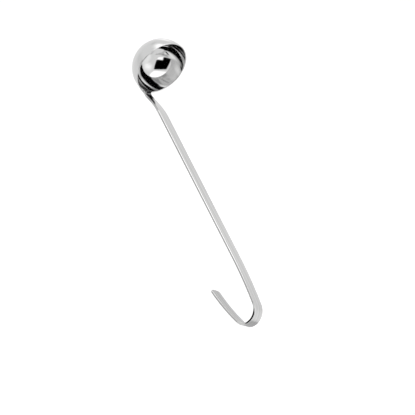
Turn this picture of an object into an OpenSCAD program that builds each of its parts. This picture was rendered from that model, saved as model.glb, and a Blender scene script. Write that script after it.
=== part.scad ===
// Soup ladle: a drawn steel bowl with a bent strip handle let into its rim and spot-welded to its outside.
// Millimetres, +Z up with the rim level. The origin is the centre of the hook's bend.

/* [Bowl] */
// Inside diameter of the bowl
bowl_in_d = 60; // [50:1:100]
// Thickness of the bowl's sheet
bowl_wall = 1.2; // [1:0.1:2.2]
// Height of the straight lip between the round part and the rim's rounded edge
lip_h = 0.3; // [0.1:0.1:6]

/* [Strip] */
// Width of the handle strip
strip_w = 13; // [11:0.5:20]
// Thickness of the handle strip
strip_t = 2.4; // [2.3:0.1:4]
// Radius of the strip's polished edges
edge_r = 0.7; // [0.3:0.1:0.9]

/* [Neck] */
// Width of the neck above the rim
neck_w = 10.4; // [8:0.2:13]
// Height of the upright neck above the rim
neck_h = 14.5; // [12:0.5:30]
// How far the neck's front stands back from the bowl's inside wall
neck_set = 1.5; // [1:0.1:2]
// Lean of the handle away from the bowl, in degrees
lean_a = 15; // [5:1:25]
// Radius of the bend that gives the lean
lean_r = 100; // [60:5:200]

/* [Foot] */
// Radius of the fillets between the neck and the rim
foot_r = 3; // [3:0.5:7]
// Depth of the notch in the rim that the foot fills
seat_h = 1.5; // [1.2:0.1:3]

/* [Shank] */
// Length of the straight run between the neck bend and the hook
shank_len = 197; // [120:1:260]

/* [Hook] */
// Diameter of the rail that the hook takes
rail_d = 25; // [16:1:32]
// Clearance between the rail and the hook all round
rail_gap = 0.25; // [0.1:0.05:0.5]
// Radius of the gentle bend that leads into the hook
entry_r = 600; // [300:10:900]
// Angle of that gentle bend, in degrees
entry_a = 6; // [2:0.5:10]
// Angle that the hook's tight bend turns, in degrees
hook_a = 157; // [140:1:170]
// Radius of the return limb's slight curve
return_r = 300; // [200:10:600]
// Length of the return limb
return_len = 55; // [30:1:80]
// Radius of the corners at the tip
tip_r = 3.5; // [1.5:0.5:5]

/* [Tongue] */
// Length of the thinned tongue along the outside of the bowl, below the rim
tongue_len = 25; // [20:1:32]
// Width of the tongue
tongue_w = 11; // [9:0.5:16]
// Thickness of the tongue
tongue_t = 1.1; // [0.8:0.1:1.6]
// Thickness of the tongue's root, at the rim
root_t = 1.6; // [1.5:0.1:2.1]
// Gap between the handle and the bowl
lap_gap = 0.03; // [0.02:0.01:0.1]

/* [Spot welds] */
// Diameter of a weld nugget
nugget_d = 5; // [3:0.5:6]
// Distance from the rim to the first nugget, along the tongue
nugget_first = 7.5; // [6:0.5:9]
// Distance between the nuggets along the tongue
nugget_pitch = 9; // [7:0.5:11]
// Depth that a nugget reaches into the bowl's wall
nugget_bite = 0.7; // [0.3:0.1:0.9]
// Depth of the electrode's mark on the tongue
nugget_mark = 0.15; // [0.05:0.05:0.3]

/* [Hidden] */
$fn = 96;

steel = "#c9ccce";
weld_steel = "#b4b6b6";

bowl_in_r = bowl_in_d / 2;
bowl_out_r = bowl_in_r + bowl_wall;
round_h = lip_h + bowl_wall / 2;
seat_r = bowl_out_r + lap_gap;
hook_in_r = rail_d / 2 + rail_gap;
hook_mid_r = hook_in_r + strip_t / 2;
foot_half = neck_w / 2 + foot_r;

// Runs up the neck over which the foot thickens, steps back from the wall and loses the bowl's roundness
thick_run = 7;
set_run = 6;
flat_run = 16;

// The tongue runs up into the foot by root_run, and a little into its front where the rim is notched.
// Below the rim it widens over flare_run and thins over thin_run
root_run = 6;
root_bite = 0.4;
flare_run = 5;
thin_run = 10;

// The handle's lengths are joined like tenons: one of each two goes in by a little and is slimmer all
// round by a hair, so that no two faces lie in one plane. The tongue is slimmer than the neck by a ledge
tenon = 0.6;
hair = 0.02;
ledge = 0.1;
slim_w = strip_w - 2 * hair;
slim_t = strip_t - 2 * hair;

// Steps round each polished edge and across each wide face of the strip's section
edge_steps = 4;
face_steps = 6;

function degrees(len, r) = len / r * 180 / PI;
function reverse(list) = [for (i = [len(list) - 1:-1:0]) list[i]];
function mean(list) = list * [for (v = list) 1] / len(list);
function smooth(f) = let (c = min(1, max(0, f))) c * c * (3 - 2 * c);
function mix(a, b, f) = a + (b - a) * smooth(f);

// A place on the handle's middle line is [x, z, a]: a is the turn away from straight up
function go_line(p, len) = [p[0] - len * sin(p[2]), p[1] + len * cos(p[2]), p[2]];
function go_arc(p, r, a) = [
    p[0] + r * (cos(p[2] + a) - cos(p[2])), p[1] + r * (sin(p[2] + a) - sin(p[2])), p[2] + a];

at_rim = [-bowl_in_r - neck_set - slim_t / 2, 0, 0];
at_bend = go_line(at_rim, neck_h);
at_shank = go_arc(at_bend, lean_r, lean_a);
at_entry = go_line(at_shank, shank_len);
at_hook = go_arc(at_entry, entry_r, entry_a);
at_return = go_arc(at_hook, hook_mid_r, hook_a);
at_tip = go_arc(at_return, return_r, degrees(return_len - tip_r, return_r));
bend_len = lean_r * lean_a * PI / 180;
foot_top = neck_h + bend_len;
hook_c = [at_hook[0] - hook_mid_r * cos(at_hook[2]), at_hook[1] - hook_mid_r * sin(at_hook[2])];

// One polished edge of a strip with thickness t, as [depth behind the front, inset from the edge]
function polished(t) = let (r = min(edge_r, 0.48 * t),
    turn = [for (i = [0:edge_steps]) let (b = 90 * i / edge_steps) [r - r * cos(b), r - r * sin(b)]])
    concat(turn, [for (p = reverse(turn)) [t - p[0], p[1]]]);

// Section as [forward of the front face, across] points. half_at gives the half width for an inset, and
// curve is how sharply the strip is rounded about an axis in front of it
function section(t, half_at, curve) = let (
    edge = polished(t),
    flat = half_at(edge[0][1]),
    face = [for (i = [1:face_steps - 1]) flat * (1 - 2 * i / face_steps)],
    blank = concat([for (p = edge) [p[0], half_at(p[1])]], [for (y = face) [t, y]],
        [for (p = reverse(edge)) [p[0], -half_at(p[1])]], [for (y = reverse(face)) [0, y]]))
    [for (p = blank) rounded(p, curve)];
function rounded(p, curve) = curve == 0 ? [-p[0], p[1]] : let (r = 1 / curve, b = degrees(p[1], r))
    [r - (r + p[0]) * cos(b), (r + p[0]) * sin(b)];

// Inset of an end's outline with corners of radius r, at s from the end
function end_inset(r, s) = s < r ? r - sqrt(r * r - pow(r - s, 2)) : 0;

// Place of the front face at a place on the middle line, for a thickness t
function front(p, t) = [p[0] + t / 2 * cos(p[2]), p[1] + t / 2 * sin(p[2]), p[2]];
function foot_line(d) = d < neck_h ? go_line(at_rim, d)
    : d < foot_top ? go_arc(at_bend, lean_r, degrees(d - neck_h, lean_r)) : go_line(at_shank, d - foot_top);

// The foot at a distance d above the rim: half width at an inset e, thickness, roundness and set-back
function half_at_foot(d, e) = d <= -e ? foot_half
    : d < foot_r ? foot_half - sqrt(pow(foot_r + e, 2) - pow(foot_r - d, 2))
    : mix(neck_w, slim_w, (d - neck_h) / bend_len) / 2 - e;
function foot_thick(d) = mix(bowl_wall, slim_t, d / thick_run);
function foot_curve(d) = (1 - smooth(d / flat_run)) / bowl_in_r;
function foot_set(d) = neck_set * (1 - smooth(d / set_run));

// The tongue at a distance d above the rim, below it where negative: width, thickness and front face
function tongue_wide(d) = mix(tongue_w, neck_w - 2 * ledge, 1 + d / flare_run);
function tongue_thick(d) = mix(tongue_t, root_t, 1 + d / thin_run) + (d >= -seat_h ? root_bite : 0);
function tongue_front(d) =
    d >= 0 ? [-mix(seat_r, -at_rim[0] - root_t / 2, d / root_run) + root_bite, d, 0]
    : d >= -seat_h ? [-seat_r + root_bite, d, 0]
    : d >= -round_h ? [-seat_r, d, 0]
    : let (b = degrees(-round_h - d, seat_r)) [-seat_r * cos(b), -round_h - seat_r * sin(b), b];

// A station is [place of the front face, section]
function foot_station(d) = let (p = front(foot_line(d), slim_t))
    [[p[0] + foot_set(d), p[1], p[2]],
    section(foot_thick(d), function (e) half_at_foot(d, e), foot_curve(d))];
function tongue_station(d) = let (half = tongue_wide(d) / 2 - end_inset(tongue_w / 2, d + tongue_len))
    [tongue_front(d), section(tongue_thick(d), function (e) max(half - e, 0.02), 1 / seat_r)];
function tip_station(s) = let (t = slim_t - 2 * hair, half = slim_w / 2 - hair - end_inset(tip_r, s))
    [front(go_arc(at_tip, return_r, degrees(tip_r - s, return_r)), t),
    section(t, function (e) half - e, 0)];

// Solid skin over a row of stations, with a middle point at each end
module loft(stations) {
    n = len(stations[0][1]);
    m = len(stations);
    rows = [for (s = stations) let (p = s[0]) [for (q = s[1])
        [p[0] + q[0] * cos(p[2]), q[1], p[1] + q[0] * sin(p[2])]]];
    points = [for (row = rows) each row];
    middles = [for (row = [rows[0], rows[m - 1]]) [for (k = [0:2]) mean([for (v = row) v[k]])]];
    walls = [for (j = [0:m - 2]) for (i = [0:n - 1]) let (a = j * n + i, b = j * n + (i + 1) % n)
        each [[a, b + n, b], [a, a + n, b + n]]];
    ends = [for (i = [0:n - 1]) let (k = (i + 1) % n, top = (m - 1) * n)
        each [[i, k, m * n], [top + k, top + i, m * n + 1]]];
    polyhedron(concat(points, middles), concat(ends, walls));
}

// The section in the plane of an extrusion, seen along the handle, with a hair less all round if slim
module flat_section(slim = 0) {
    half = strip_w / 2 - slim;
    t = strip_t - 2 * slim;
    polygon([for (p = section(t, function (e) half - e, 0)) [p[0] + t / 2, p[1]]]);
}

// A straight run from a place on the middle line
module run(p, len) {
    translate([p[0], 0, p[1]]) rotate([0, -p[2], 0]) linear_extrude(len) flat_section();
}

// A bend toward the back from a place on the middle line, starting before and ending after its own angle
module bend(p, r, a, slim = 0, before = 0, after = 0) {
    ends = [degrees(before, r), degrees(after, r)];
    translate([p[0] - r * cos(p[2]), 0, p[1] - r * sin(p[2])])
        rotate([0, ends[0] - p[2], 0]) rotate([90, 0, 0])
            rotate_extrude(angle = ends[0] + a + ends[1]) translate([r, 0]) flat_section(slim);
}

// Everything below is placed from the rim's centre, and moved so that the hook's centre is the origin
module from_rim() {
    translate([-hook_c[0], 0, -hook_c[1]]) children();
}

// Cylinder square to the bowl's wall at a distance d below the rim, between two radii
module wall_plug(d, r_in, r_out) {
    translate([0, 0, -round_h]) rotate([0, -90 - degrees(d - round_h, bowl_out_r), 0])
        translate([0, 0, r_in]) cylinder(d = nugget_d, h = r_out - r_in);
}

module nuggets(r_in, r_out) {
    for (d = [nugget_first, nugget_first + nugget_pitch]) wall_plug(d, r_in, r_out);
}

// Half of the bowl's wall: a quarter ring, the lip and its round edge
module bowl_profile() {
    difference() {
        union() {
            intersection() {
                translate([0, -round_h]) circle(bowl_out_r);
                translate([0, -round_h - bowl_out_r]) square(bowl_out_r);
            }
            translate([0, -round_h]) square([bowl_out_r, lip_h]);
            translate([bowl_in_r + bowl_wall / 2, -bowl_wall / 2]) circle(d = bowl_wall);
        }
        translate([0, -round_h]) circle(bowl_in_r);
        translate([0, -round_h]) square([bowl_in_r, round_h]);
    }
}

// The notch in the rim, as wide and deep as the foot and its fillets, with the gap round them
module rim_notch() {
    a = degrees(foot_half + lap_gap, bowl_in_r);
    depth = seat_h + lap_gap;
    rotate([0, 0, 180 - a]) rotate_extrude(angle = 2 * a)
        translate([bowl_in_r - 1, -depth]) square([bowl_wall + 2, depth + 1]);
}

module bowl() {
    color(steel) from_rim() difference() {
        rotate_extrude() bowl_profile();
        rim_notch();
        nuggets(bowl_out_r - nugget_bite, seat_r + tongue_t);
    }
}

module handle() {
    foot_rows = [-seat_h, each [-0.6:0.1:0], each [for (i = [1:9]) foot_r * (1 - cos(10 * i))],
        each [foot_r + 3:3:foot_top - 1], foot_top, foot_top + tenon];
    end_rows = [0.1, 0.4, 1, 2, 3.2, 4.6, each [6:2:tongue_len - seat_h - 1]];
    root_rows = [-seat_h - hair, -seat_h, each [0:1:root_run]];
    tongue_rows = concat([for (s = end_rows) s - tongue_len], root_rows);
    tip_rows = [0.1, 0.4, 1, 2, tip_r, tip_r + tenon];
    color(steel) from_rim() {
        difference() {
            union() {
                loft([for (d = foot_rows) foot_station(d)]);
                loft([for (d = tongue_rows) tongue_station(d)]);
            }
            nuggets(bowl_out_r - nugget_bite, seat_r + root_t + 1);
        }
        run(at_shank, shank_len);
        bend(at_entry, entry_r, entry_a, hair, tenon, tenon);
        bend(at_hook, hook_mid_r, hook_a);
        bend(at_return, return_r, degrees(return_len - tip_r, return_r), hair, tenon);
        loft([for (s = reverse(tip_rows)) tip_station(s)]);
    }
}

module spot_welds() {
    color(weld_steel) from_rim()
        nuggets(bowl_out_r - nugget_bite, seat_r + tongue_t - nugget_mark);
}

bowl();
handle();
spot_welds();
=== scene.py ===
"""Dresses the soup ladle: a deep-drawn steel bowl with a bent strip handle let into its rim."""

import logging
import math
from dataclasses import dataclass, field
from typing import Iterable

import bmesh
import bpy
from bmesh.types import BMesh, BMVert
from bpy.types import Material, Node, NodeSocket, Object, ShaderNodeTree
from mathutils import Matrix, Vector

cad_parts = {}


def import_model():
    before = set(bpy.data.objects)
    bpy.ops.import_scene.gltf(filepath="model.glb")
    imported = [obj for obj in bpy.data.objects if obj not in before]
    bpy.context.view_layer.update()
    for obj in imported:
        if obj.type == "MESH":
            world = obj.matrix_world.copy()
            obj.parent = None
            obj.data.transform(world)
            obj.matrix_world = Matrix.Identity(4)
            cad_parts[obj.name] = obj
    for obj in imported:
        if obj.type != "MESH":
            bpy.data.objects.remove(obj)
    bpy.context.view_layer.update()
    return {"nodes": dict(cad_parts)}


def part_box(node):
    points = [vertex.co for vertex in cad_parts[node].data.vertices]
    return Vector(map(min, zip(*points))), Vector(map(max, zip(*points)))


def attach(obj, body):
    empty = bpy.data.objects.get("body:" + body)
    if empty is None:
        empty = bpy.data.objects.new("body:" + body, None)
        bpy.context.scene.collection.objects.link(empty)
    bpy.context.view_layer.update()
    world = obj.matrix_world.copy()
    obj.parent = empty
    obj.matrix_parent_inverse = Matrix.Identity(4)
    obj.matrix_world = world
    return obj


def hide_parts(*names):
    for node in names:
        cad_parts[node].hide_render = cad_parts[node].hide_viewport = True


log = logging.getLogger("ladle")

MM = 0.001
SHARP = math.radians(35)
MAX_CORNERS = 5


def smooth(f: float) -> float:
    """Eases a fraction from 0 to 1 with level ends."""
    c = min(1.0, max(0.0, f))
    return c * c * (3 - 2 * c)


def mix(a: float, b: float, f: float) -> float:
    """Goes from a to b as f goes from 0 to 1."""
    return a + (b - a) * smooth(f)


def steps(start: float, end: float, step: float) -> list[float]:
    """Spaces places evenly from a start up to, but not onto, an end.

    Args:
        start: The first place.
        end: The limit.
        step: The distance between places, at most.

    Returns:
        The places.
    """
    count = max(1, math.ceil((end - start) / step))
    return [start + (end - start) * i / count for i in range(count)]


def close_up(bm: BMesh) -> None:
    """Turns a closed shell's faces outward and smooths them, with its sharp corners kept.

    Args:
        bm: The bmesh.
    """
    bmesh.ops.recalc_face_normals(bm, faces=bm.faces)
    if bm.calc_volume(signed=True) < 0:
        bmesh.ops.reverse_faces(bm, faces=bm.faces)
    for face in bm.faces:
        face.smooth = True
    for edge in bm.edges:
        edge.smooth = not edge.is_manifold or edge.calc_face_angle() < SHARP


def new_object(name: str, bm: BMesh, material: Material) -> Object:
    """Makes an object of a finished bmesh.

    Args:
        name: The object's name.
        bm: The bmesh, which is freed.
        material: The object's one material.

    Returns:
        The object, linked to the scene.
    """
    mesh = bpy.data.meshes.new(name)
    bm.to_mesh(mesh)
    bm.free()
    mesh.materials.append(material)
    piece = bpy.data.objects.new(name, mesh)
    bpy.context.scene.collection.objects.link(piece)
    return piece


def apply_modifiers(piece: Object) -> None:
    """Bakes a piece's modifiers into its mesh.

    Args:
        piece: The object whose modifiers are applied.
    """
    graph = bpy.context.evaluated_depsgraph_get()
    mesh = bpy.data.meshes.new_from_object(piece.evaluated_get(graph), depsgraph=graph)
    piece.modifiers.clear()
    piece.data = mesh


def cut_blank(
    side: list[tuple[float, float]], thick: float, edge_r: float, along: Iterable[float], across: Iterable[float],
    square_below: float,
) -> BMesh:
    """Cuts a flat blank to its outline, polishes its edges round and scores it for bending.

    Args:
        side: One side of the outline, as distances along the blank with the half width there.
        thick: The blank's thickness.
        edge_r: Radius of its polished edges.
        along: Places along the blank where it gets an edge across.
        across: Places across it where it gets an edge along.
        square_below: The edges below this place along the blank stay square.

    Returns:
        The blank, with x along it, y across it and z from 0 at the back to its thickness at the front.
    """
    bm = bmesh.new()
    loop = side + [(s, -y) for s, y in side[::-1]]
    face = bm.faces.new([bm.verts.new((s, y, 0)) for s, y in loop])
    grown = bmesh.ops.extrude_face_region(bm, geom=[face])
    top = [v for v in grown["geom"] if isinstance(v, BMVert)]
    bmesh.ops.translate(bm, verts=top, vec=(0, 0, thick))
    bmesh.ops.recalc_face_normals(bm, faces=bm.faces)
    rims = [
        e for e in bm.edges
        if abs(e.verts[0].co.z - e.verts[1].co.z) < 0.1 * thick
        and max(e.verts[0].co.x, e.verts[1].co.x) > square_below
    ]
    bmesh.ops.bevel(
        bm, geom=rims, offset=edge_r, offset_type="OFFSET", affect="EDGES", segments=8, profile=0.5, material=-1,
        clamp_overlap=True,
    )
    for normal, places in (((1, 0, 0), along), ((0, 1, 0), across)):
        for place in places:
            bmesh.ops.bisect_plane(
                bm, geom=bm.verts[:] + bm.edges[:] + bm.faces[:], plane_co=Vector(normal) * place,
                plane_no=normal, dist=1e-7,
            )
    return bm


# Materials


def polish_group() -> ShaderNodeTree:
    """Builds the node group of a polished sheet: fine lines, faint waves and wipe marks.

    Returns:
        The group, whose outputs feed Base Color, Roughness and a Bump node's Height.
    """
    group = bpy.data.node_groups.new("polished sheet", "ShaderNodeTree")
    face = group.interface
    sockets = (
        ("Place", "INPUT", "NodeSocketVector", None),
        ("Tone", "INPUT", "NodeSocketColor", (0.6, 0.6, 0.6, 1.0)),
        ("Roughness", "INPUT", "NodeSocketFloat", 0.05),
        ("Lines", "INPUT", "NodeSocketFloat", 0.02),
        ("Wave", "INPUT", "NodeSocketFloat", 0.2),
        ("Streaks", "INPUT", "NodeSocketFloat", 0.1),
        ("Color", "OUTPUT", "NodeSocketColor", None),
        ("Roughness", "OUTPUT", "NodeSocketFloat", None),
        ("Height", "OUTPUT", "NodeSocketFloat", None),
    )
    for name, way, kind, value in sockets:
        socket = face.new_socket(name=name, in_out=way, socket_type=kind)
        if value is not None:
            socket.default_value = value
    nodes, links = group.nodes, group.links
    source = nodes.new("NodeGroupInput")
    result = nodes.new("NodeGroupOutput")

    def noise(scale: float, detail: float) -> Node:
        """Adds a noise texture at the group's place."""
        node = nodes.new("ShaderNodeTexNoise")
        node.inputs["Scale"].default_value = scale
        node.inputs["Detail"].default_value = detail
        links.new(source.outputs["Place"], node.inputs["Vector"])
        return node

    def math_node(kind: str, a: NodeSocket | float, b: NodeSocket | float) -> NodeSocket:
        """Adds a math node on two sockets or numbers, and gives its output."""
        node = nodes.new("ShaderNodeMath")
        node.operation = kind
        for slot, value in zip(node.inputs, (a, b)):
            if isinstance(value, (int, float)):
                slot.default_value = value
            else:
                links.new(value, slot)
        return node.outputs[0]

    lines = noise(1.0, 3.0).outputs["Fac"]
    cloudy = noise(0.05, 2.0).outputs["Fac"]
    wave = noise(0.012, 0.0).outputs["Fac"]
    rough = math_node("ADD", source.outputs["Roughness"], math_node("MULTIPLY", lines, source.outputs["Lines"]))
    rough = math_node("ADD", rough, math_node("MULTIPLY", cloudy, 0.03))
    tone = nodes.new("ShaderNodeMix")
    tone.data_type = "RGBA"
    tone.blend_type = "MULTIPLY"
    tone_a, tone_b = [s for s in tone.inputs if s.type == "RGBA"]
    marks = nodes.new("ShaderNodeMapRange")
    marks.interpolation_type = "SMOOTHSTEP"
    marks.inputs["From Min"].default_value = 0.35
    marks.inputs["From Max"].default_value = 0.65
    links.new(lines, marks.inputs["Value"])
    links.new(math_node("MULTIPLY", marks.outputs["Result"], source.outputs["Streaks"]), tone.inputs["Factor"])
    links.new(source.outputs["Tone"], tone_a)
    tone_b.default_value = (0.5, 0.5, 0.5, 1)
    height = math_node("ADD", math_node("MULTIPLY", wave, source.outputs["Wave"]), math_node("MULTIPLY", lines, 0.0004))
    links.new([s for s in tone.outputs if s.type == "RGBA"][0], result.inputs["Color"])
    links.new(math_node("SUBTRACT", rough, 0.015), result.inputs["Roughness"])
    links.new(height, result.inputs["Height"])
    return group


@dataclass(frozen=True)
class SteelFinish:
    """A polished stainless finish."""

    name: str
    tone: tuple[float, float, float] = (0.67, 0.67, 0.668)
    roughness: float = 0.05
    lines: float = 0.02
    wave: float = 0.1
    streaks: float = 0.06
    stretch: tuple[float, float, float] = (1000.0, 1000.0, 1000.0)
    bump: float = 0.1

    def material(self, group: ShaderNodeTree) -> Material:
        """Builds the material from the shared polish group.

        Args:
            group: The shared group of a polished sheet.

        Returns:
            The material.
        """
        made = bpy.data.materials.new(self.name)
        made.use_nodes = True
        nodes, links = made.node_tree.nodes, made.node_tree.links
        shader = nodes["Principled BSDF"]
        shader.inputs["Metallic"].default_value = 1.0
        place = nodes.new("ShaderNodeTexCoord")
        mapping = nodes.new("ShaderNodeMapping")
        mapping.inputs["Scale"].default_value = self.stretch
        links.new(place.outputs["Object"], mapping.inputs["Vector"])
        sheet = nodes.new("ShaderNodeGroup")
        sheet.node_tree = group
        sheet.inputs["Tone"].default_value = (*self.tone, 1.0)
        sheet.inputs["Roughness"].default_value = self.roughness
        sheet.inputs["Lines"].default_value = self.lines
        sheet.inputs["Wave"].default_value = self.wave
        sheet.inputs["Streaks"].default_value = self.streaks
        links.new(mapping.outputs["Vector"], sheet.inputs["Place"])
        bump = nodes.new("ShaderNodeBump")
        bump.inputs["Strength"].default_value = self.bump
        bump.inputs["Distance"].default_value = 0.001
        links.new(sheet.outputs["Height"], bump.inputs["Height"])
        links.new(sheet.outputs["Color"], shader.inputs["Base Color"])
        links.new(sheet.outputs["Roughness"], shader.inputs["Roughness"])
        links.new(bump.outputs["Normal"], shader.inputs["Normal"])
        return made


# The object's pieces


@dataclass
class Bowl:
    """The deep-drawn bowl: a half sphere, flared a little inside, with a rounded rim and a notch for the handle's foot."""

    rim: Vector
    outer_r: float
    wall: float = 1.2 * MM
    round_h: float = 0.9 * MM
    flare_h: float = 2.5 * MM
    notch_h: float = 1.53 * MM
    notch_half: float = 8.23 * MM
    arc_steps: int = 64
    lip_steps: int = 3
    rim_steps: int = 8
    spin_steps: int = 184
    notch_steps: int = 12

    def face(self, middle: float, radius: float, depth: float, top: float) -> tuple[list[Vector], list[Vector]]:
        """Works out one face of the wall as part of an ellipse, with the notch's floor as one of its points.

        Args:
            middle: The height of the ellipse's centre, from the rim's plane.
            radius: Its half width.
            depth: Its half height.
            top: The height at which the face ends.

        Returns:
            The points from the pole up to the notch's floor, and those from there to the face's end, in the XZ
            plane from the rim's centre.
        """
        floor, end = (math.acos((middle - h) / depth) for h in (-self.notch_h, top))
        low = [floor * i / self.arc_steps for i in range(self.arc_steps + 1)]
        high = [floor + (end - floor) * i / self.lip_steps for i in range(self.lip_steps + 1)]
        below, above = (
            [Vector((radius * math.sin(a), 0, middle - depth * math.cos(a))) for a in angles]
            for angles in (low, high)
        )
        return below, above

    def profile(self) -> tuple[list[Vector], list[Vector], list[Vector]]:
        """Works out the wall's profile, with the notch's floor as a point on each face.

        Returns:
            The outside below the notch's floor, the part above it over the rim, and the inside below it.
        """
        bead = self.wall / 2
        inner_r = self.outer_r - self.wall
        outside, outside_lip = self.face(-self.round_h, self.outer_r, self.outer_r, -self.round_h)
        depth = inner_r + self.round_h + self.flare_h
        radius = inner_r / math.sqrt(1 - ((self.flare_h + bead) / depth) ** 2)
        inside, inside_lip = self.face(self.flare_h, radius, depth, -bead)
        turns = [i / self.rim_steps * math.pi for i in range(self.rim_steps + 1)]
        over = [Vector((inner_r + bead + bead * math.cos(a), 0, -bead + bead * math.sin(a))) for a in turns]
        return outside, outside_lip + over + inside_lip[-2::-1], inside

    def spin(self, bm: BMesh, points: list[Vector], start: float, turn: float, count: int) -> None:
        """Spins a row of points about the bowl's axis.

        Args:
            bm: The bmesh that takes the faces.
            points: The row in the XZ plane, from the rim's centre.
            start: The angle at which it starts.
            turn: The angle that it turns.
            count: How many steps it takes.
        """
        spun = Matrix.Rotation(start, 3, "Z")
        verts = [bm.verts.new(self.rim + spun @ p) for p in points]
        edges = [bm.edges.new(pair) for pair in zip(verts, verts[1:])]
        bmesh.ops.spin(
            bm, geom=verts + edges, cent=self.rim, axis=(0, 0, 1), dvec=(0, 0, 0), angle=turn, steps=count,
            use_merge=False, use_duplicate=False,
        )

    def build(self, material: Material) -> Object:
        """Spins the profile into the bowl, all round below the notch and up to its sides above it.

        Args:
            material: The bowl's finish.

        Returns:
            The bowl.
        """
        bm = bmesh.new()
        outside, lip, inside = self.profile()
        half = self.notch_half / (self.outer_r - self.wall)
        start, turn = math.pi + half, 2 * (math.pi - half)
        for row in (outside, lip, inside):
            self.spin(bm, row, start, turn, self.spin_steps)
        for row in (outside, inside):
            self.spin(bm, row, math.pi - half, 2 * half, self.notch_steps)
        bmesh.ops.remove_doubles(bm, verts=bm.verts, dist=0.0005 * MM)
        floor_z = self.rim.z - self.notch_h
        ends = [e for e in bm.edges if e.is_boundary]
        floor = [e for e in ends if all(abs(v.co.z - floor_z) < 0.001 * MM for v in e.verts)]
        bmesh.ops.bridge_loops(bm, edges=floor)
        bmesh.ops.holes_fill(bm, edges=[e for e in bm.edges if e.is_boundary], sides=0)
        close_up(bm)
        piece = new_object("bowl_shell", bm, material)
        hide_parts("bowl")
        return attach(piece, "root")


@dataclass
class Handle:
    """The strip handle: a flat blank cut to its outline, thinned and rounded at the foot and bent to shape."""

    rim: Vector
    in_r: float
    wall: float = 1.2 * MM
    strip_w: float = 13.0 * MM
    strip_t: float = 2.4 * MM
    foot_t: float = 2.36 * MM
    edge_r: float = 0.6 * MM
    neck_w: float = 10.4 * MM
    neck_h: float = 14.5 * MM
    neck_set: float = 1.5 * MM
    lean: float = math.radians(15)
    lean_r: float = 100 * MM
    foot_r: float = 3 * MM
    seat_h: float = 1.5 * MM
    thick_run: float = 7 * MM
    set_run: float = 6 * MM
    flat_run: float = 16 * MM
    shank: float = 197 * MM
    entry_r: float = 600 * MM
    entry: float = math.radians(6)
    hook_r: float = 13.95 * MM
    hook: float = math.radians(157)
    return_r: float = 300 * MM
    return_len: float = 55 * MM
    tip_r: float = 3.5 * MM
    swell: float = 0.55
    swell_run: float = 3 * MM
    bounds: list[float] = field(default_factory=list)

    def __post_init__(self) -> None:
        """Works out the lengths at which each stretch of the handle ends, from the rim up."""
        runs = (
            self.neck_h, self.lean_r * self.lean, self.shank, self.entry_r * self.entry,
            self.hook_r * self.hook, self.return_len,
        )
        total = 0.0
        for run in runs:
            total += run
            self.bounds.append(total)

    def middle(self, d: float) -> tuple[float, float, float]:
        """Gives the place on the middle line above the rim.

        Args:
            d: The distance from the rim along the handle.

        Returns:
            The place's x and z from the rim's centre, and its turn away from straight up.
        """
        x, z, a = -self.in_r - self.neck_set - self.foot_t / 2, 0.0, 0.0
        bends = (0.0, self.lean_r, 0.0, self.entry_r, self.hook_r, self.return_r)
        start = 0.0
        for index, (end, radius) in enumerate(zip(self.bounds, bends)):
            last = index == len(bends) - 1
            run = (d if last else min(d, end)) - start
            if run <= 0 and index > 0:
                break
            if radius:
                b = a + run / radius
                x += radius * (math.cos(b) - math.cos(a))
                z += radius * (math.sin(b) - math.sin(a))
                a = b
            else:
                x -= run * math.sin(a)
                z += run * math.cos(a)
            start = end
        return x, z, a

    def widened(self, s: float, y: float, n: float) -> float:
        """Widens the strip toward the inside of the hook's bend, where the metal is squeezed, and narrows it outside.

        Args:
            s: Distance from the rim along the strip.
            y: Distance across the strip from its middle line.
            n: Distance behind the front face, as a share of the strip's full thickness.

        Returns:
            The distance across after the bend.
        """
        begin, end = self.bounds[3], self.bounds[4]
        reach = min(s - begin, end - s) / self.swell_run
        return y * (1 + self.swell * smooth(0.5 + reach / 2) * (n - 0.5) * self.strip_t / self.hook_r)

    def form(self, s: float, y: float, n: float) -> Vector:
        """Bends a point of the flat blank into place.

        Args:
            s: Distance from the rim along the strip, below it where negative.
            y: Distance across the strip from its middle line.
            n: Distance behind the front face, as a share of the strip's full thickness.

        Returns:
            The point in the model's frame.
        """
        full = mix(self.foot_t, self.strip_t, (s - self.bounds[1]) / self.flat_run)
        back = n * mix(self.wall, full, s / self.thick_run)
        x, z, a = self.middle(s)
        x += self.neck_set * (1 - smooth(s / self.set_run))
        ahead, over = full / 2 - back, self.widened(s, y, n)
        curve = (1 - smooth(s / self.flat_run)) / self.in_r
        if curve > 0:
            r = 1 / curve
            ahead = full / 2 + r - (r + back) * math.cos(y * curve)
            over = (r + back) * math.sin(y * curve)
        return self.rim + Vector((x + ahead * math.cos(a), over, z + ahead * math.sin(a)))

    def outline(self) -> list[tuple[float, float]]:
        """Works out one side of the blank's outline, from the foot's seat over its fillet to the tip.

        Returns:
            Distances along the strip with the half width there.
        """
        neck, half = self.neck_w / 2, self.strip_w / 2
        wide = neck + self.foot_r
        turns = [math.radians(a) for a in range(0, 90, 6)]
        fillet = [(self.foot_r * (1 - math.cos(a)), wide - self.foot_r * math.sin(a)) for a in turns]
        low, high = self.neck_h, self.bounds[1]
        flare = [(s, mix(neck, half, (s - low) / (high - low))) for s in steps(low, high, MM)]
        end = self.bounds[-1]
        tip = [
            (end - self.tip_r * (1 - math.cos(a)), half - self.tip_r * (1 - math.sin(a)))
            for a in (math.radians(b) for b in range(87, 0, -6))
        ]
        seat = [(-self.seat_h, wide)]
        return seat + fillet + [(self.foot_r, neck)] + flare + [(high, half), (end - self.tip_r, half)] + tip

    def cuts(self) -> list[float]:
        """Gives the places along the blank where it needs an edge across, to bend smoothly."""
        ends = [-self.seat_h, self.set_run + 2 * MM, *self.bounds[1:]]
        gaps = (0.4 * MM, 0.8 * MM, 8 * MM, 2 * MM, 0.5 * MM, MM)
        return [s for low, high, gap in zip(ends, ends[1:], gaps) for s in steps(low, high, gap)][1:]

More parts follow.
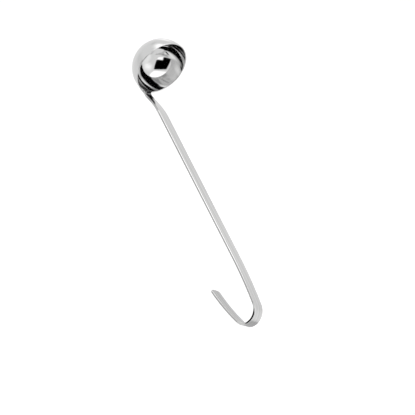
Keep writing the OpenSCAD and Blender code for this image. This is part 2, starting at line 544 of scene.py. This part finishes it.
    def build(self, material: Material) -> Object:
        """Bends the blank into the handle.

        Args:
            material: The strip's finish.

        Returns:
            The handle.
        """
        across = [i * 0.8 * MM for i in range(-11, 12)]
        bm = cut_blank(self.outline(), self.strip_t, self.edge_r, self.cuts(), across, 0.001 * MM)
        for vert in bm.verts:
            s, y, up = vert.co
            vert.co = self.form(s, y, 1 - up / self.strip_t)
        close_up(bm)
        piece = new_object("handle_strip", bm, material)
        weigh = piece.modifiers.new("flat faces stay flat", "WEIGHTED_NORMAL")
        weigh.mode = "FACE_AREA"
        weigh.weight = 50
        weigh.keep_sharp = True
        apply_modifiers(piece)
        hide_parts("handle")
        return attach(piece, "root")


@dataclass
class Tongue:
    """The thinned tongue below the handle's foot, which lies on the bowl's outside, with the electrodes' marks."""

    rim: Vector
    bowl_r: float
    middle_r: float
    round_h: float = 0.9 * MM
    gap: float = 0.03 * MM
    length: float = 25 * MM
    width: float = 11 * MM
    end_t: float = 1.1 * MM
    root_t: float = 1.6 * MM
    root_w: float = 10.2 * MM
    root_run: float = 6 * MM
    flare_run: float = 5 * MM
    thin_run: float = 10 * MM
    edge_r: float = 0.5 * MM
    weld_first: float = 7.5 * MM
    weld_pitch: float = 9 * MM
    weld_r: float = 2.5 * MM
    mark: float = 0.17 * MM
    shoulder: float = 0.6 * MM

    def thick(self, s: float, y: float) -> float:
        """Gives the tongue's thickness at a point, pressed in where the electrodes stood.

        Args:
            s: Distance from the rim along the tongue, negative below it.
            y: Distance across it.

        Returns:
            The thickness.
        """
        plain = mix(self.end_t, self.root_t, 1 + s / self.thin_run)
        for place in (self.weld_first, self.weld_first + self.weld_pitch):
            beyond = math.hypot(s + place, y) - self.weld_r
            if beyond < self.shoulder:
                return mix(self.end_t - self.mark, plain, beyond / self.shoulder)
        return plain

    def form(self, s: float, y: float, n: float) -> Vector:
        """Lays a point of the flat blank on the bowl.

        Args:
            s: Distance from the rim along the tongue, negative below it.
            y: Distance across it from its middle line.
            n: Distance behind the front face, as a share of the thickness.

        Returns:
            The point in the model's frame.
        """
        seat = self.bowl_r + self.gap
        back = n * self.thick(s, y)
        if s >= 0:
            x, z, a = -mix(seat, self.middle_r - self.root_t / 2, s / self.root_run), s, 0.0
        elif s >= -self.round_h:
            x, z, a = -seat, s, 0.0
        else:
            a = (-self.round_h - s) / seat
            x, z = -seat * math.cos(a), -self.round_h - seat * math.sin(a)
        ahead = seat - (seat + back) * math.cos(y / seat)
        over = (seat + back) * math.sin(y / seat)
        return self.rim + Vector((x + ahead * math.cos(a), over, z + ahead * math.sin(a)))

    def outline(self) -> list[tuple[float, float]]:
        """Works out one side of the blank's outline, from the round end to the root.

        Returns:
            Distances along the tongue with the half width there.
        """
        half = self.width / 2
        turns = [math.radians(a) for a in range(3, 90, 6)]
        end = [(half * (1 - math.cos(a)) - self.length, half * math.sin(a)) for a in turns]
        side = steps(half - self.length, self.root_run, MM) + [self.root_run]
        return end + [(s, mix(self.width, self.root_w, 1 + s / self.flare_run) / 2) for s in side]

    def build(self, material: Material) -> Object:
        """Presses the tongue onto the bowl.

        Args:
            material: The strip's finish.

        Returns:
            The tongue.
        """
        grid = 0.4 * MM
        along = steps(-self.length, self.root_run, grid)[1:]
        across = [i * grid for i in range(-17, 18)]
        bm = cut_blank(self.outline(), self.end_t, self.edge_r, along, across, -1.0)
        for vert in bm.verts:
            s, y, up = vert.co
            vert.co = self.form(s, y, 1 - up / self.end_t)
        close_up(bm)
        piece = new_object("handle_tongue", bm, material)
        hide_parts("handle")
        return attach(piece, "root")


def toward(azimuth: float, elevation: float) -> Vector:
    """Gives the direction at an azimuth and an elevation, in degrees."""
    az, el = math.radians(azimuth), math.radians(elevation)
    return Vector((math.cos(el) * math.cos(az), math.cos(el) * math.sin(az), math.sin(el)))


def card_group() -> ShaderNodeTree:
    """Builds the node group that masks one card of the tent.

    Returns:
        The group: a direction, the normals of the card's edges and its softness in, its mask out.
    """
    group = bpy.data.node_groups.new("tent card", "ShaderNodeTree")
    face = group.interface
    face.new_socket(name="Direction", in_out="INPUT", socket_type="NodeSocketVector")
    for index in range(MAX_CORNERS):
        face.new_socket(name=f"Edge {index}", in_out="INPUT", socket_type="NodeSocketVector")
    face.new_socket(name="Softness", in_out="INPUT", socket_type="NodeSocketFloat")
    face.new_socket(name="Mask", in_out="OUTPUT", socket_type="NodeSocketFloat")
    nodes, links = group.nodes, group.links
    source = nodes.new("NodeGroupInput")
    result = nodes.new("NodeGroupOutput")
    low = nodes.new("ShaderNodeMath")
    low.operation = "MULTIPLY"
    links.new(source.outputs["Softness"], low.inputs[0])
    low.inputs[1].default_value = -1.0
    mask = None
    for index in range(MAX_CORNERS):
        inside = nodes.new("ShaderNodeVectorMath")
        inside.operation = "DOT_PRODUCT"
        links.new(source.outputs["Direction"], inside.inputs[0])
        links.new(source.outputs[f"Edge {index}"], inside.inputs[1])
        fade = nodes.new("ShaderNodeMapRange")
        fade.interpolation_type = "SMOOTHSTEP"
        links.new(inside.outputs["Value"], fade.inputs["Value"])
        links.new(low.outputs[0], fade.inputs["From Min"])
        links.new(source.outputs["Softness"], fade.inputs["From Max"])
        if mask is None:
            mask = fade.outputs["Result"]
            continue
        both = nodes.new("ShaderNodeMath")
        both.operation = "MULTIPLY"
        links.new(mask, both.inputs[0])
        links.new(fade.outputs["Result"], both.inputs[1])
        mask = both.outputs[0]
    links.new(mask, result.inputs["Mask"])
    return group


@dataclass(frozen=True)
class Card:
    """A lamp's diffuser, a grey card or a dark cloth of the tent, as it is seen from the ladle."""

    name: str
    tone: float
    corners: tuple[tuple[float, float], ...]
    soft: float = 3.0

    def edges(self) -> list[Vector]:
        """Works out the inward normals of the planes through the ladle and the card's edges.

        Returns:
            As many normals as a card may have corners, the last one repeated if it has fewer.
        """
        spots = [toward(*corner) for corner in self.corners]
        normals = [a.cross(b).normalized() for a, b in zip(spots, spots[1:] + spots[:1])]
        return normals + normals[-1:] * (MAX_CORNERS - len(normals))


# From the back to the front; each is listed from its lower left corner, with azimuths growing first
TENT = (
    Card("back cloth", 0.58, ((-158, -30), (-112, -30), (-116, 34), (-158, 34)), 8),
    Card("left wall", 1.04, ((-112, 12), (-53, 12), (-47, 60), (-115, 57)), 10),
    Card("high wall", 1.14, ((-128, 47), (-42, 47), (-36, 78), (-132, 76)), 8),
    Card("grey wall", 0.54, ((133, 28), (180, 26), (162, 46), (144, 54)), 4),
    Card("left diffuser", 1.4, ((-42, 38), (6, 42), (22, 62), (-48, 58)), 12),
    Card("front diffuser", 1.68, ((-5, 11), (78, 9), (72, 17), (28, 41), (0, 29)), 4),
    Card("dark front", 0.0, ((28, 46), (81, 20), (132, 18), (133, 44), (95, 71)), 2),
    Card("dark table", 0.0, ((76, -16), (136, -16), (133, 10), (80, 10)), 3),
    Card("right diffuser", 1.52, ((111, 48), (134, 46), (132, 66), (102, 70)), 3),
    Card("near floor light", 1.65, ((-4, -53), (28, -53), (28, -20), (-4, -20)), 10),
    Card("low front light", 2.40, ((-24, -27), (44, -28), (44, -12), (-24, -12)), 4),
    Card("far floor light", 1.30, ((-88, -60), (-48, -56), (-48, -45), (-88, -47)), 6),
    Card("floor's dip", 0.74, ((-25, -70), (12, -70), (12, -65), (-25, -62)), 5),
    Card("floor's shade", 0.83, ((95, -75), (140, -75), (140, -30), (95, -30)), 8),
    Card("floor's edge", 0.55, ((100, -43), (124, -43), (124, -31), (100, -31)), 3),
)


@dataclass
class Studio:
    """The photograph's camera, with a pale tent round the ladle and dark cards that the steel mirrors."""

    rim: Vector
    frame_px: float = 415
    rim_px: tuple[float, float] = (161.77, 68.18)
    px_per_m: float = 944.2
    azimuth: float = math.radians(69.68)
    elevation: float = math.radians(39.0)
    roll: float = math.radians(136.22)
    distance: float = 10.0
    sensor: float = 36.0
    floor_drop: float = 0.6
    floor_half: float = 30.0
    floor_tone: tuple[float, float, float] = (0.9, 0.9, 0.9)
    floor_lift: float = 0.3
    flag_tone: float = 0.74
    flag_spot: tuple[float, float, float] = (31 * MM, -83 * MM, -106 * MM)
    flag_half: tuple[float, float] = (36 * MM, 36 * MM)
    flag_faces: tuple[float, float] = (107.7, 40.0)
    tent_tone: float = 0.93

    def camera(self) -> Object:
        """Places the camera at the photograph's viewing angle.

        Returns:
            The camera, which is made the scene's.
        """
        az, el = self.azimuth, self.elevation
        back = Vector((math.cos(el) * math.cos(az), math.cos(el) * math.sin(az), math.sin(el)))
        level = Vector((-math.sin(az), math.cos(az), 0))
        rise = back.cross(level)
        right = math.cos(self.roll) * level + math.sin(self.roll) * rise
        up = back.cross(right)
        half = self.frame_px / 2
        shift_x = (self.rim_px[0] - half) / self.px_per_m
        shift_y = (self.rim_px[1] - half) / self.px_per_m
        spot = self.rim + back * self.distance - right * shift_x + up * shift_y
        lens = bpy.data.cameras.new("camera")
        lens.sensor_width = self.sensor
        lens.lens = self.px_per_m * self.distance / self.frame_px * self.sensor
        lens.clip_end = 10 * self.distance
        camera = bpy.data.objects.new("camera", lens)
        camera.matrix_world = Matrix((
            (right.x, up.x, back.x, spot.x),
            (right.y, up.y, back.y, spot.y),
            (right.z, up.z, back.z, spot.z),
            (0, 0, 0, 1),
        ))
        bpy.context.scene.collection.objects.link(camera)
        bpy.context.scene.camera = camera
        return camera

    def world(self) -> None:
        """Lights the scene evenly, white to the camera."""
        world = bpy.data.worlds.new("tent")
        world.use_nodes = True
        nodes, links = world.node_tree.nodes, world.node_tree.links
        background = nodes["Background"]
        background.inputs["Color"].default_value = (1, 1, 1, 1)
        place = nodes.new("ShaderNodeTexCoord")
        group = card_group()
        tone = None
        for card in TENT:
            mask = nodes.new("ShaderNodeGroup")
            mask.node_tree = group
            mask.label = card.name
            links.new(place.outputs["Generated"], mask.inputs["Direction"])
            for index, normal in enumerate(card.edges()):
                mask.inputs[f"Edge {index}"].default_value = normal
            mask.inputs["Softness"].default_value = math.sin(math.radians(card.soft))
            over = nodes.new("ShaderNodeMix")
            over.data_type = "FLOAT"
            links.new(mask.outputs["Mask"], over.inputs["Factor"])
            if tone is None:
                over.inputs["A"].default_value = self.tent_tone
            else:
                links.new(tone, over.inputs["A"])
            over.inputs["B"].default_value = card.tone
            tone = over.outputs["Result"]
        links.new(tone, background.inputs["Strength"])
        bright = nodes.new("ShaderNodeBackground")
        bright.inputs["Color"].default_value = (1, 1, 1, 1)
        mixed = nodes.new("ShaderNodeMixShader")
        path = nodes.new("ShaderNodeLightPath")
        links.new(path.outputs["Is Camera Ray"], mixed.inputs["Fac"])
        links.new(background.outputs[0], mixed.inputs[1])
        links.new(bright.outputs[0], mixed.inputs[2])
        links.new(mixed.outputs[0], nodes["World Output"].inputs["Surface"])
        bpy.context.scene.world = world

    def floor(self) -> Object:
        """Lays the pale floor under the ladle, which hangs well above it.

        Returns:
            The floor.
        """
        bm = bmesh.new()
        bmesh.ops.create_grid(bm, x_segments=1, y_segments=1, size=self.floor_half)
        bmesh.ops.translate(bm, verts=bm.verts, vec=self.rim - Vector((0, 0, self.floor_drop)))
        made = bpy.data.materials.new("pale floor")
        made.use_nodes = True
        nodes, links = made.node_tree.nodes, made.node_tree.links
        shader = nodes["Principled BSDF"]
        shader.inputs["Base Color"].default_value = (*self.floor_tone, 1.0)
        shader.inputs["Roughness"].default_value = 0.9
        shader.inputs["Specular IOR Level"].default_value = 0.0
        shader.inputs["Emission Color"].default_value = (1, 1, 1, 1)
        path = nodes.new("ShaderNodeLightPath")
        lift = nodes.new("ShaderNodeMath")
        lift.operation = "MULTIPLY"
        links.new(path.outputs["Is Camera Ray"], lift.inputs[0])
        lift.inputs[1].default_value = self.floor_lift
        links.new(lift.outputs[0], shader.inputs["Emission Strength"])
        through = nodes.new("ShaderNodeBsdfTransparent")
        sides = nodes.new("ShaderNodeNewGeometry")
        mirrored = nodes.new("ShaderNodeMath")
        mirrored.operation = "MAXIMUM"
        links.new(sides.outputs["Backfacing"], mirrored.inputs[0])
        links.new(path.outputs["Is Glossy Ray"], mirrored.inputs[1])
        both = nodes.new("ShaderNodeMixShader")
        links.new(mirrored.outputs[0], both.inputs["Fac"])
        links.new(shader.outputs[0], both.inputs[1])
        links.new(through.outputs[0], both.inputs[2])
        links.new(both.outputs[0], nodes["Material Output"].inputs["Surface"])
        floor = new_object("floor", bm, made)
        return floor

    def flag(self) -> Object:
        """Hangs a small grey flag beside the hook, which only the hook's return limb mirrors.

        Returns:
            The flag.
        """
        bm = bmesh.new()
        bmesh.ops.create_grid(bm, x_segments=1, y_segments=1, size=1.0)
        turn = toward(*self.flag_faces).to_track_quat("Z", "Y").to_matrix().to_4x4()
        bmesh.ops.scale(bm, verts=bm.verts, vec=(*self.flag_half, 1.0))
        bmesh.ops.transform(bm, verts=bm.verts, matrix=Matrix.Translation(self.flag_spot) @ turn)
        made = bpy.data.materials.new("grey flag")
        made.use_nodes = True
        shader = made.node_tree.nodes["Principled BSDF"]
        shader.inputs["Base Color"].default_value = (0, 0, 0, 1)
        shader.inputs["Specular IOR Level"].default_value = 0.0
        shader.inputs["Emission Color"].default_value = (1, 1, 1, 1)
        shader.inputs["Emission Strength"].default_value = self.flag_tone
        flag = new_object("grey_flag", bm, made)
        flag.visible_camera = False
        flag.visible_diffuse = False
        flag.visible_shadow = False
        return flag

    def build(self) -> None:
        """Sets up the camera, the tent, the floor, the flag and the view."""
        self.camera()
        self.world()
        self.floor()
        self.flag()
        bpy.context.scene.view_settings.view_transform = "Standard"


def main() -> None:
    """Builds the ladle's pieces in order, then the studio round them."""
    logging.basicConfig(level=logging.INFO, format="%(name)s: %(message)s")
    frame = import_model()
    low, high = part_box("bowl")
    rim = Vector(((low.x + high.x) / 2, 0, high.z))
    outer_r = (high.y - low.y) / 2
    group = polish_group()
    bowl_steel = SteelFinish("bowl steel", streaks=0.04, stretch=(40.0, 40.0, 900.0)).material(group)
    strip_steel = SteelFinish("strip steel", streaks=0.22, stretch=(8.0, 450.0, 8.0)).material(group)
    weld_steel = SteelFinish(
        "weld steel", tone=(0.5, 0.49, 0.475), roughness=0.3, lines=0.25, wave=0.0, streaks=0.3,
        stretch=(1800.0, 1800.0, 1800.0), bump=0.3,
    ).material(group)
    welds = frame["nodes"]["spot_welds"]
    welds.data.materials.clear()
    welds.data.materials.append(weld_steel)
    bowl = Bowl(rim, outer_r)
    handle = Handle(rim, outer_r - bowl.wall)
    tongue = Tongue(rim, outer_r, handle.in_r + handle.neck_set + handle.foot_t / 2)
    pieces = (bowl.build(bowl_steel), handle.build(strip_steel), tongue.build(strip_steel))
    for piece in pieces:
        log.info("%s: %d faces", piece.name, len(piece.data.polygons))
    Studio(rim).build()


if __name__ == "__main__":
    main()
